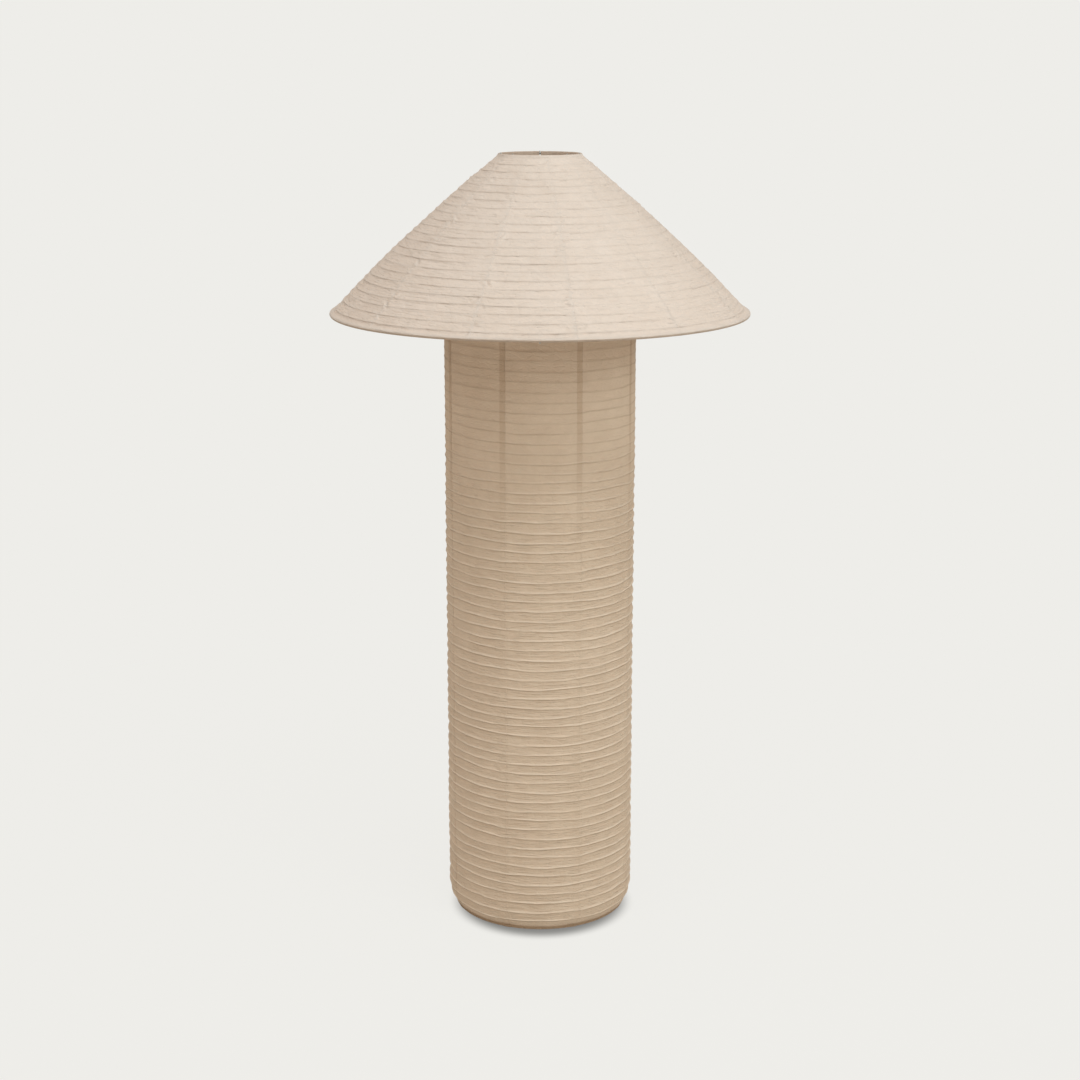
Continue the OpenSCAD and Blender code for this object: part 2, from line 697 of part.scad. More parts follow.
// Paper skin of the hat: hem over the top ring, ribbed cone, flared lip round the rim hoop
module shade_paper() {
    top = [top_ring_r, top_ring_z];
    rim = [rim_ring_r, rim_z];
    top_wrap = top_wire_r + glue;
    rim_wrap = rim_wire_r + glue;
    last_out = shade_point(shade_bays, 0);
    last_in = shade_point(shade_bays, -paper_t);
    outer = concat(arc_points(top, top_wrap + paper_t, 80, 28, 5), shade_side(0), [last_out],
        arc_points(rim, rim_wrap + paper_t, touch_angle(rim, rim_wrap + paper_t, last_out), -75, 12));
    inner = concat(arc_points(top, top_wrap, 80, 24, 5), shade_side(paper_t), [last_in],
        arc_points(rim, rim_wrap, touch_angle(rim, rim_wrap, last_in), -75, 12));
    color([0.9, 0.83, 0.75]) turned(concat(outer, [for (i = [len(inner) - 1 : -1 : 0]) inner[i]]));
}

// Knurled nut that holds the shade on the harp
module finial_nut() {
    flutes = 24;
    color([0.75, 0.62, 0.35]) difference() {
        turned([[0, finial_z], [finial_r - 0.6, finial_z], [finial_r, finial_z + 0.6],
            [finial_r, finial_z + 7], [finial_r - 2, finial_z + 9.5],
            [finial_r - 5, finial_h + finial_z - 0.5], [0, finial_h + finial_z]]);
        translate([0, 0, finial_z - eps])
            cylinder(r = stud_r + thread_fit, h = table_z + table_t + stud_h + run_gap - finial_z);
        for (i = [0 : flutes - 1]) rotate([0, 0, 360 * i / flutes])
            translate([finial_r + 0.3, 0, finial_z + 1]) cylinder(r = 0.7, h = 5, $fn = 16);
    }
}

base_plate();
base_feet();
base_bolt();
base_washer();
pole_foot();
cord_gland();
lower_pole();
cluster_body();
cluster_cap();
splice_block();
holder_arm();
arm_nut();
lower_holder_cap();
lower_holder_shell();
lower_holder_insert();
lower_holder_contacts();
lower_bulb_cap();
lower_bulb_glass();
supply_lead();
arm_lead();
upper_lead();
upper_pole();
frame_collar();
collar_screw();
column_top_frame();
column_bottom_ring();
column_ribs();
column_paper();
pole_plug();
harp_saddle();
harp();
upper_holder_cap();
upper_holder_shell();
upper_holder_insert();
upper_holder_contacts();
upper_bulb_cap();
upper_bulb_glass();
hub_washer();
shade_top_frame();
shade_rim_hoop();
shade_struts();
shade_ribs();
shade_paper();
finial_nut();
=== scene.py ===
import json
import math

import bpy
import numpy as np
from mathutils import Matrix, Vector


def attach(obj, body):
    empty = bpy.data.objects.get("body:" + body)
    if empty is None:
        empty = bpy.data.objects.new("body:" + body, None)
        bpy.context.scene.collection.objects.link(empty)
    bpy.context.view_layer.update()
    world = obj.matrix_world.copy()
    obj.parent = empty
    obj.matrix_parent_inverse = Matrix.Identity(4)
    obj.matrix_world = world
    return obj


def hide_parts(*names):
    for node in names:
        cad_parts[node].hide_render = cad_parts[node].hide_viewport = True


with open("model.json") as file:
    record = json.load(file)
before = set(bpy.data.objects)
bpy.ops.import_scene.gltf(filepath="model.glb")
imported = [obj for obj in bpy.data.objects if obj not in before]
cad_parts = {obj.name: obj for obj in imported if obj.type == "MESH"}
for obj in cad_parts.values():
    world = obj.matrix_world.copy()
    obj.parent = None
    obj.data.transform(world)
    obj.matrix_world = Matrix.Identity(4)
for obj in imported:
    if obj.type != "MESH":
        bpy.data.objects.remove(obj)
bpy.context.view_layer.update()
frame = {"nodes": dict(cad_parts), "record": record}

MM = 0.001

# ---- camera -------------------------------------------------------------------------
# Fitted to the ellipses of the column's hoops in the photograph.

LENS, SENSOR, CLIP_END = 66.55, 36.0, 60.0
CAMERA_PLACE, CAMERA_TILT = (0.0, -3.0947, 1.365), 76.27

cam_data = bpy.data.cameras.new("camera")
cam_data.lens = LENS
cam_data.sensor_width = SENSOR
cam_data.sensor_fit = "HORIZONTAL"
cam_data.clip_end = CLIP_END
camera = bpy.data.objects.new("camera", cam_data)
bpy.context.collection.objects.link(camera)
camera.location = CAMERA_PLACE
camera.rotation_euler = (math.radians(CAMERA_TILT), 0.0, 0.0)
bpy.context.scene.camera = camera
bpy.context.scene.view_settings.view_transform = "Standard"


# ---- small tools --------------------------------------------------------------------

def linear(r, g, b):
    """A colour given as 0-255 sRGB, as Blender's linear RGBA."""
    out = []
    for c in (r, g, b):
        c = c / 255.0
        out.append(c / 12.92 if c <= 0.04045 else ((c + 0.055) / 1.055) ** 2.4)
    return (*out, 1.0)


def tinted(color, gain, lift=0.0):
    """The colour made lighter or darker."""
    return (*(min(1.0, c * gain + lift) for c in color[:3]), 1.0)


def smooth(x):
    """0 to 1 with soft ends."""
    x = np.clip(x, 0, 1)
    return x * x * (3 - 2 * x)


def lerp(a, b, t):
    return a * (1 - t) + b * t


def at_least(low, share):
    """A share of 0-1 brought into low-1."""
    return low + (1 - low) * share


def bell(x, middle, width):
    return np.exp(-((x - middle) / width) ** 2)


def spline_weights(f):
    """Cubic spline weights of the four lattice points round a place f (0-1) between two."""
    return (
        (1 - f) ** 3 / 6,
        (3 * f ** 3 - 6 * f ** 2 + 4) / 6,
        (-3 * f ** 3 + 3 * f ** 2 + 3 * f + 1) / 6,
        f ** 3 / 6,
    )


FIELD_GAIN = 1.6  # brings a field's usual reach near 1


def noise(cells_u, cells_v, seed):
    """A smooth random field: round in u (0-1 is one turn), open in v (0-1)."""
    lattice = np.random.default_rng(seed).uniform(-1, 1, (cells_u, cells_v + 4))

    def field(u, v):
        u, v = np.broadcast_arrays(np.asarray(u, float), np.asarray(v, float))
        x = (u % 1.0) * cells_u
        y = np.clip(v, 0, 1) * cells_v + 1
        i, j = np.floor(x).astype(int), np.floor(y).astype(int)
        wx, wy = spline_weights(x - i), spline_weights(y - j)
        total = np.zeros_like(x)
        for a in range(4):
            for b in range(4):
                near = lattice[(i + a - 1) % cells_u, np.clip(j + b - 1, 0, cells_v + 3)]
                total += wx[a] * wy[b] * near
        return total * FIELD_GAIN

    return field


# ---- meshes -------------------------------------------------------------------------

def mesh_object(name, points, faces, attributes=None):
    """An object from points in millimetres and faces; attributes are floats on its points."""
    mesh = bpy.data.meshes.new(name)
    mesh.from_pydata((np.asarray(points) * MM).tolist(), [], faces)
    for key, values in (attributes or {}).items():
        layer = mesh.attributes.new(key, "FLOAT", "POINT")
        layer.data.foreach_set("value", np.asarray(values, dtype=np.float32))
    mesh.polygons.foreach_set("use_smooth", [True] * len(mesh.polygons))
    mesh.update()
    ob = bpy.data.objects.new(name, mesh)
    bpy.context.collection.objects.link(ob)
    return ob


def sheet_solid(name, outer, inner, attributes, downward):
    """A closed thin sheet. outer is rows x columns x 3; inner has the same rows and columns
    that are fewer by a whole ratio. downward: the rows run from the top to the bottom."""
    rows, cols = outer.shape[:2]
    inner_cols = inner.shape[1]
    step = (cols - 1) // (inner_cols - 1)
    a = np.arange(rows * cols).reshape(rows, cols)
    b = rows * cols + np.arange(rows * inner_cols).reshape(rows, inner_cols)
    front = np.stack([a[:-1, :-1], a[:-1, 1:], a[1:, 1:], a[1:, :-1]], -1)
    back = np.stack([b[:-1, :-1], b[1:, :-1], b[1:, 1:], b[:-1, 1:]], -1)
    faces = front.reshape(-1, 4).tolist() + back.reshape(-1, 4).tolist()
    for k in (0, -1):
        side = np.stack([a[:-1, k], a[1:, k], b[1:, k], b[:-1, k]], -1)
        faces += (side if k == 0 else side[:, ::-1]).tolist()
    for k in (0, -1):
        for j in range(inner_cols - 1):
            edge = a[k, j * step:(j + 1) * step + 1].tolist()
            ring = edge + [int(b[k, j + 1]), int(b[k, j])]
            faces.append(ring[::-1] if k == 0 else ring)
    if downward:
        faces = [face[::-1] for face in faces]
    points = np.concatenate([outer.reshape(-1, 3), inner.reshape(-1, 3)])
    values = {
        key: np.concatenate([v.reshape(-1), v[:, ::step].reshape(-1)])
        for key, v in attributes.items()
    }
    return mesh_object(name, points, faces, values)


def hoop_mesh(paths, wire, sides):
    """Points and faces of closed wires along the closed paths (each n x 3, in mm)."""
    points, faces, start = [], [], 0
    angles = np.arange(sides) * math.tau / sides
    up = np.array([0, 0, 1.0])
    for path in paths:
        radial = path * [1, 1, 0]
        radial /= np.linalg.norm(radial, axis=1)[:, None]
        spoke = (np.cos(angles)[None, :, None] * radial[:, None, :]
                 + np.sin(angles)[None, :, None] * up)
        points.append((path[:, None, :] + wire * spoke).reshape(-1, 3))
        here = start + np.arange(len(path) * sides).reshape(len(path), sides)
        ahead = np.roll(here, -1, 0)
        quads = np.stack([here, ahead, np.roll(ahead, -1, 1), np.roll(here, -1, 1)], -1)
        faces += quads.reshape(-1, 4).tolist()
        start += len(path) * sides
    return np.concatenate(points), faces


# ---- outlines of the paper skins ----------------------------------------------------
# Sizes in mm. They are the CAD model's, and the visual model adds what the photograph shows
# beyond it: a rounder foot, the hem folded into the hat's opening and a hollow above the lip.

COL_R, COL_BAYS, COL_PITCH, COL_Z = 150.0, 63, 15.5, 3.5
COL_TOP = COL_Z + COL_BAYS * COL_PITCH
COL_RING_R, COL_WRAP = 147.25, 2.75
FOOT_DRAW, FOOT_BAYS, FOOT_CURVE = 11.0, 2, 1.8
HAT_TOP_R, HAT_LOW_R, HAT_BAYS, HAT_BULGE = 66.0, 315.0, 22, 6.0
HAT_TOP_Z, HAT_LOW_Z = 1212.0, 984.0
HAT_RING, HAT_RING_WRAP = (62.4, 1213.2), 2.55
HAT_RIM, HAT_RIM_WRAP = (322.0, 974.5), 3.15
HAT_FLAP = (6.5, 2.6)  # how far below the top ring the folded hem's rows lie
NECK = 1.5  # depth of the hollow above the lip
LIP_ROWS = (0, 0.06, 0.13, 0.22, 0.36, 0.56, 0.78)  # from the last hoop (0) to the rim (1)

# Rows of points in a bay, at mm from a hoop, close together where the paper bends most.
BAY_ROWS = (0.0, 0.6, 1.3, 2.1, 3.3, 5.4, 7.8, 10.2, 12.2, 13.4, 14.2, 14.9)
OFF_HOOP = 9.0  # stands for a distance at which a hoop no longer shows
HEM_TOP = 3.2  # height of the line that the foot's hem leaves, above the bottom ring
HELD = 0.42  # the part of a bay beside a ring where the ring keeps the paper still
HEM_EDGE, HEM_SOFT = 0.46, 0.26  # where the doubled paper beside a ring ends, in bays; its darker tint there is partly painted shade

COL_SEAMS = [math.radians(a) for a in (-22.3, 23.4, 68.2, 112.6, 158.1, 203.0, 247.4, 292.4)]
HAT_SEAMS = [math.radians(a) for a in (
    -18.2, 9.3, 38.5, 68.0, 97.5, 127.0, 157.5, 187.0, 217.5, 248.0, 277.5, 309.5)]


def arc(centre, radius, start, end, steps):
    """Points of a circle from start to end, in degrees."""
    a = np.radians(np.linspace(start, end, steps + 1))
    return np.stack([centre[0] + radius * np.cos(a), centre[1] + radius * np.sin(a)], 1)


class Profile:
    """Rows of a skin from one end to the other. p: radius and height on the CAD outline at a
    hoop's level, n: outward, hoop: how many hoops along, x: place in the bay below the upper
    hoop (0-1), below: mm below the nearest hoop, move: 0 where a ring holds the paper, hem: 1
    where the paper is doubled round a ring, and tinted darker there, partly as painted shade
    on the undersides and inside the hat's opening."""

    def __init__(self):
        self.rows = []

    def add(self, p, n, hoop, x, below, move, hem):
        self.rows.append((*p, *n, hoop, x, below, move, hem))

    def done(self):
        a = np.array(self.rows, float)
        self.p, self.n = a[:, 0:2], a[:, 2:4]
        self.hoop, self.x, self.below, self.move, self.hem = a[:, 4:9].T
        self.along = np.stack([self.n[:, 1], -self.n[:, 0]], 1)
        return self


def signed_below(d, pitch):
    """mm below the nearest hoop, negative above it, for a point d below the upper hoop."""
    return d if d < pitch / 2 else d - pitch


def column_profile():
    """The column's skin from the bottom ring up to the top ring."""
    f = Profile()
    foot = (COL_RING_R - FOOT_DRAW, COL_Z)
    # The wrap round the foot's ring is tinted darker: doubled paper, and painted shade on its
    # underside.
    for q in arc(foot, COL_WRAP, -110, -12, 7):
        f.add(q, (q - foot) / COL_WRAP, 0, 0, OFF_HOOP, 0, 1)
    for b in range(COL_BAYS):
        for s in BAY_ROWS:
            hoop = b + s / COL_PITCH
            r = COL_R - FOOT_DRAW * max(0.0, 1 - hoop / FOOT_BAYS) ** FOOT_CURVE
            if b or s > COL_PITCH / 2:
                below = signed_below(COL_PITCH - s, COL_PITCH)
            else:
                below = HEM_TOP - s
            edge = min(hoop, COL_BAYS - hoop)
            f.add((r, COL_Z + hoop * COL_PITCH), (1, 0), hoop, 1 - s / COL_PITCH, below,
                  smooth(edge / HELD), smooth((HEM_EDGE - edge) / HEM_SOFT))
    top = (COL_RING_R, COL_TOP)
    for q in arc(top, COL_WRAP, 0, 110, 8):
        f.add(q, (q - top) / COL_WRAP, COL_BAYS, 0, OFF_HOOP, 0, 1)
    return f.done()


def hat_point(u):
    """Point, outward direction and pitch on the hat's bulged cone, u hoops below its top."""
    a, b = np.array([HAT_TOP_R, HAT_TOP_Z]), np.array([HAT_LOW_R, HAT_LOW_Z])
    length = np.linalg.norm(b - a)
    along = (b - a) / length
    out = np.array([-along[1], along[0]])
    w = u / HAT_BAYS
    p = a + along * length * w + out * HAT_BULGE * 4 * w * (1 - w)
    slope = HAT_BULGE * 4 * (1 - 2 * w) / length
    n = out - along * slope
    return p, n / np.linalg.norm(n), length / HAT_BAYS


def hat_profile():
    """The hat's skin from the hem in its opening down to the underside of its rim."""
    f = Profile()
    for down in HAT_FLAP:
        f.add((HAT_RING[0] - HAT_RING_WRAP, HAT_RING[1] - down), (-1, 0), 0, 0, OFF_HOOP, 0, 1)
    for q in arc(HAT_RING, HAT_RING_WRAP, 180, 28, 9):
        # Darker on the inner side of the top ring: doubled paper, and painted shade inside the
        # hat's opening.
        hem = 1 - smooth((q[0] - HAT_RING[0]) / 2)
        f.add(q, (q - HAT_RING) / HAT_RING_WRAP, 0, 0, OFF_HOOP, 0, hem)
    pitch = hat_point(0)[2]
    for b in range(HAT_BAYS):
        for s in BAY_ROWS:
            d = s * pitch / COL_PITCH
            hoop = b + d / pitch
            p, n, _ = hat_point(hoop)
            f.add(p, n, hoop, d / pitch, signed_below(d, pitch), smooth(hoop + 0.3), 0)
    last, n_last, _ = hat_point(HAT_BAYS)
    reach = np.array(HAT_RIM) - last
    touch = math.atan2(-reach[1], -reach[0]) - math.acos(HAT_RIM_WRAP / np.linalg.norm(reach))
    lip = arc(HAT_RIM, HAT_RIM_WRAP, math.degrees(touch), -75, 11)
    n_lip = (lip[0] - HAT_RIM) / HAT_RIM_WRAP
    length = np.linalg.norm(lip[0] - last)
    for w in LIP_ROWS:
        n = lerp(n_last, n_lip, w)
        p = last + (lip[0] - last) * w - n * NECK * math.sin(math.pi * w)
        below = length * w if w < 0.5 else OFF_HOOP
        f.add(p, n / np.linalg.norm(n), HAT_BAYS + w * 0.85, w * 0.999, below,
              1 - 0.8 * smooth(w), 0)
    for q in lip:
        n = (q - HAT_RIM) / HAT_RIM_WRAP
        # Darker where the lip faces down: doubled paper, and painted shade on the rim's
        # underside.
        f.add(q, n, HAT_BAYS + 1, 0, OFF_HOOP, 0, smooth((0.25 - n[1]) / 0.5))
    return f.done()


# ---- how the paper lies -------------------------------------------------------------

TIGHT_LINES, TIGHT_BAYS = 0.45, 0.3  # what is left of lines and bays where the paper is tight
JOG_RUN = 16.0  # mm from a seam to where a ridge's step is whole
CALM, CALM_REACH = 0.55, 9.0  # how much flatter the paper is at a seam, and how far from it
FINE = 0.26  # mm, the smallest unevenness
SKEW = 0.08  # how far the deepest point of a bay wanders, in bays


def bay_shape(x):
    """How far the paper lies in between two hoops, 0-1: it draws in slowly below the upper hoop
    and comes out again just above the lower one."""
    slow, quick, peak = 0.35, 0.14, 0.77
    x = np.clip(x, 0, 1)
    return (1 - np.exp(-x / slow)) * (1 - np.exp(-(1 - x) / quick)) / peak


def around(q, theta):
    """Radius and height as points round the axis; theta runs from the front to the right."""
    return np.stack([q[..., 0] * np.sin(theta), -q[..., 0] * np.cos(theta), q[..., 1]], -1)


class Paper:
    """How one skin's paper lies. Sizes are in mm: dip is how deep a bay draws in, ridge and
    width the height and half width of the ridge on a hoop, wave and sway how far a hoop's line
    wanders along the paper and outward, jog how far a ridge steps from one gore to the next.
    fade is how much a ridge's height changes along it. tilt(theta, hoop) shifts the hoops too,
    slack(hoop) is 0 where the paper hangs tight and 1 where it is loose, and ease(theta) the
    same round the skin."""

    def __init__(self, profile, seams, seed, bays, pitch, folds, dip, ridge, width, wave, sway,
                 jog, fade, tilt, slack, ease):
        self.f, self.seams, self.pitch, self.folds = profile, seams, pitch, folds
        self.dip, self.ridge, self.width = dip, ridge, width
        self.wave, self.sway, self.fade = wave, sway, fade
        self.tilt, self.slack, self.ease = tilt, slack, ease
        rows = self.rows = bays + 1
        steps = np.random.default_rng(seed + 9)
        self.jogs = jog * steps.uniform(-1, 1, (len(seams), bays + 3))
        self.n_wave = noise(9, rows, seed)
        self.n_wave2 = noise(31, rows * 2, seed + 1)
        self.n_wave3 = noise(83, rows * 3, seed + 7)
        self.n_sway = noise(4, max(rows // 4, 3), seed + 2)
        self.n_sway2 = noise(17, rows, seed + 3)
        self.n_dip = noise(23, rows * 2, seed + 4)
        self.n_fine = noise(131, rows * 3, seed + 5)
        self.n_skew = noise(19, rows, seed + 6)
        self.n_ridge = noise(37, rows * 3, seed + 8)

    def hoop_shift(self, theta, hoop):
        """Along the paper, in mm, for a hoop or between two of them."""
        u, v = theta / math.tau, hoop / self.rows
        even = self.n_wave(u, v) + 0.75 * self.n_wave2(u, v) + 0.35 * self.n_wave3(u, v)
        loose = at_least(TIGHT_LINES, self.slack(hoop))
        return self.wave * even * loose + self.tilt(theta, hoop)

    def hoop_out(self, theta, hoop):
        """Outward, in mm."""
        u, v = theta / math.tau, hoop / self.rows
        return self.sway * (self.n_sway(u, v) + 0.4 * self.n_sway2(u, v))

    def height(self, theta, hoop):
        """How high the nearest hoop's ridge stands at theta, about 1."""
        along = self.n_ridge(theta / math.tau, np.round(hoop) / self.rows)
        return self.ease(theta) * np.clip(1 + self.fade * along, 0.1, 2.0)

    def place(self, theta, rows, gore, from_seam):
        """Radius and height of the outside for theta (rows x columns). from_seam is how far a
        point lies from its gore's nearer seam, in mm."""
        f = self.f
        hoop, x, below, move = (a[rows][:, None] for a in (f.hoop, f.x, f.below, f.move))
        k = np.floor(hoop + 1e-9)
        t, level = hoop - k, k.astype(int)
        loose, ease = self.slack(hoop), self.ease(theta)
        shift = lerp(self.hoop_shift(theta, k), self.hoop_shift(theta, k + 1), t)
        step = lerp(self.jogs[gore, level], self.jogs[gore, level + 1], t)
        shift = shift + step * smooth(from_seam / JOG_RUN)
        out = lerp(self.hoop_out(theta, k), self.hoop_out(theta, k + 1), t)
        u, v = theta / math.tau, (k + 0.5) / self.rows
        bow = bay_shape(x + SKEW * self.n_skew(u, v) * np.sin(math.pi * x) ** 2)
        calm = 1 - CALM * bell(from_seam, 0, CALM_REACH)
        uneven = 1 + 0.35 * self.n_dip(u, v)
        depth = calm * self.dip * at_least(TIGHT_BAYS, loose) * uneven * ease
        crest = calm * self.ridge * at_least(TIGHT_LINES, loose) * self.height(theta, hoop)
        drop = -depth * bow - crest * (1 - bell(below, 0, self.width))
        fine = FINE * self.n_fine(u, hoop / self.rows)
        drop += fine * bow * at_least(TIGHT_BAYS, loose)
        creases = add_creases(theta, hoop * self.pitch, self.folds)
        drop += creases * smooth(np.abs(below) / 1.5)
        p, normal, along = (a[rows][:, None, :] for a in (f.p, f.n, f.along))
        return p + normal * ((out + drop) * move)[..., None] + along * (shift * move)[..., None]

    def gores(self, theta, radius):
        """Which gore each theta (0 to a full turn) is in, and how far it lies from the nearer
        seam, in mm."""
        edges = np.array(self.seams + [self.seams[0] + math.tau])
        turned = np.where(theta > edges[-1], theta - math.tau, theta)
        gore = np.clip(np.searchsorted(edges, turned) - 1, 0, len(self.seams) - 1)
        return gore, np.minimum(turned - edges[gore], edges[gore + 1] - turned) * radius


def add_creases(theta, v, folds):
    """Sum of the short folds at the points: theta round, v in mm along the paper. A fold is
    (theta, v, radius there, heading, half length, half width, height)."""
    theta, v = np.broadcast_arrays(theta, v)
    total = np.zeros(theta.shape)
    for ct, cv, radius, heading, half, width, height in folds:
        reach = half + 3 * width
        r0, r1 = np.searchsorted(v[:, 0], (cv - reach, cv + reach))
        if r0 >= r1:
            continue
        du = ((theta[r0:r1] - ct + math.pi) % math.tau - math.pi) * radius
        near = np.abs(du) < reach
        if not near.any():
            continue
        a, b = du[near], (v[r0:r1] - cv)[near]
        c, s = math.cos(heading), math.sin(heading)
        along, across = a * c + b * s, -a * s + b * c
        across = across + 0.15 * along * np.abs(along) / half
        crest = np.exp(-np.abs(across / width) ** 1.3)
        dent = bell(across, 1.7 * width, 1.5 * width)
        total[r0:r1][near] += height * (crest - 0.5 * dent) * np.exp(-(along / half) ** 4)
    return total


def make_folds(seed, seams, share_at, radius_at, v_max, near_seam, elsewhere, size):
    """near_seam and elsewhere give how many folds; share_at weights them along v (0-1)."""
    rng = np.random.default_rng(seed)
    out = []
    for i in range(near_seam + elsewhere):
        while True:
            w = rng.uniform()
            if rng.uniform() < share_at(w):
                break
        radius = radius_at(w)
        if i < near_seam:
            theta = seams[rng.integers(len(seams))] + rng.normal(0, 9.0) / radius
            heading = rng.choice([-1, 1]) * rng.uniform(0.25, 1.0)
            half = rng.uniform(3.5, 9.5)
            low, high = 0.25, 0.65
        else:
            theta = rng.uniform(0, math.tau)
            heading = rng.normal(0, 0.35)
            half = rng.uniform(4, 13)
            low, high = 0.12, 0.42
        height = size * rng.choice([-1, 1]) * rng.uniform(low, high)
        out.append((theta, w * v_max, radius, heading, half, rng.uniform(1.5, 2.6), height))
    return out


# ---- pieces of paper and wire -------------------------------------------------------
# Sizes in mm.

SHEET = 0.3  # the paper's thickness
COL_OVERLAP, HAT_OVERLAP = 4.7, 2.2  # half the width that two neighbouring gores share
COL_LIFT, HAT_LIFT, LIFT_RUN = 0.34, 0.12, 4.0  # how far a gore's edge stands off the next
GORE_CELLS, BACK_RATIO = 64, 4  # columns of a gore's outside, and how many to one inside
SEAM_SOFT = 0.8  # softness of the overlap's edge
WIRE_AND_SHADE_LINE, PAINTED_HIGHLIGHT_LINE = (0.7, 1.1), (-0.9, 1.15)  # lines at a hoop, mm below it and half width: the wire seen through the paper with painted shade just under its ridge, and a painted highlight on the ridge's upper side
HOOP_WIRE, WIRE_SIDES, WIRE_INSET = 0.8, 6, 1.35  # radius, sides and depth of a thin hoop


def stand_in(ob, body, node, slot):
    """The piece rides on the body and stands for the CAD node, in the slot's look."""
    ob.data.materials.append(SLOTS[slot])
    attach(ob, body)
    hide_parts(node)


def skin(prefix, paper, overlap, lift, seam_shade_fade, downward, body, node, slot):
    """The paper's gores as closed thin sheets; each one's right edge lies over the next."""
    f = paper.f
    rows = np.arange(len(f.p))
    radius, hoop = f.p[:, 0][:, None], f.hoop[:, None]
    normal, steep = f.n[:, None, :], f.n[:, 0][:, None] > 0.5
    x = np.linspace(0, 1, GORE_CELLS + 1)
    x = (x - 0.085 * np.sin(math.tau * x))[None, :]
    neighbours = range(-BACK_RATIO // 2, BACK_RATIO // 2 + 1)
    wide = 2 * overlap
    for i, a in enumerate(paper.seams):
        b = paper.seams[(i + 1) % len(paper.seams)]
        if b < a:
            b += math.tau
        wobble = 0.5 * paper.n_wave2(0.13 * i, rows / len(rows))[:, None]
        start, end = a - (overlap + wobble) / radius, b + (overlap - wobble) / radius
        theta = start + (end - start) * x
        to_end = (end - theta) * radius
        edge = np.minimum((theta - start) * radius, to_end)
        q = paper.place(theta, rows, i, np.maximum(edge - wide, 0))
        # The inside has fewer columns and keeps clear of the outside's hollows.
        q_in = q[:, ::BACK_RATIO].copy()
        low = np.minimum.reduce([np.roll(q[..., 0], k, 1) for k in neighbours])[:, ::BACK_RATIO]
        low[:, 0], low[:, -1] = q[:, 0, 0], q[:, -1, 0]
        q_in[..., 0] = np.where(steep, np.minimum(low, q_in[..., 0]), q_in[..., 0])
        off = lift * smooth(1 - (to_end - wide) / LIFT_RUN)
        outer = q + normal * off[..., None]
        inner = q_in + normal * (off[:, ::BACK_RATIO] - SHEET)[..., None]
        tall = np.clip(paper.height(theta, hoop), 0, 1.3)
        loose = paper.slack(hoop) * np.ones_like(theta)
        looks = {
            # seam: where two gores overlap, tinted darker partly as painted shade where less
            # light comes through
            "seam": smooth((wide - edge) / SEAM_SOFT + 0.5) * seam_shade_fade(hoop),
            # wire: the wire seen through the paper, darkened further as painted shade just under
            # the ridge
            "wire": bell(f.below, *WIRE_AND_SHADE_LINE)[:, None] * tall * at_least(0.6, loose),
            # crest: a painted highlight on the upper side of each ridge, strongest on the loose
            # lower bays out of the hat's shadow
            "crest": bell(f.below, *PAINTED_HIGHLIGHT_LINE)[:, None] * tall * loose,
            # hem: doubled paper at the rings, tinted darker partly as painted shade
            "hem": f.hem[:, None] * np.ones_like(theta),
            "loose": loose,
        }
        ob = sheet_solid(f"{prefix}_{i + 1:02d}", around(outer, theta),
                         around(inner, theta[:, ::BACK_RATIO]), looks, downward)
        stand_in(ob, body, node, slot)


def wire_hoops(name, paper, hoops, overlap, steps, body, node, slot):
    """The thin hoops, each following the paper's own ridge."""
    f, paths = paper.f, []
    theta = np.linspace(0, math.tau, steps, endpoint=False)[None, :]
    for k in hoops:
        row = np.array([int(np.argmin(np.abs(f.hoop - k) + (np.abs(f.below) > 1)))])
        gore, from_seam = paper.gores(theta, f.p[row[0], 0])
        q = paper.place(theta, row, gore, np.maximum(from_seam - overlap, 0))
        paths.append(around(q - f.n[row][:, None, :] * WIRE_INSET, theta)[0])
    stand_in(mesh_object(name, *hoop_mesh(paths, HOOP_WIRE, WIRE_SIDES)), body, node, slot)


# ---- materials ----------------------------------------------------------------------

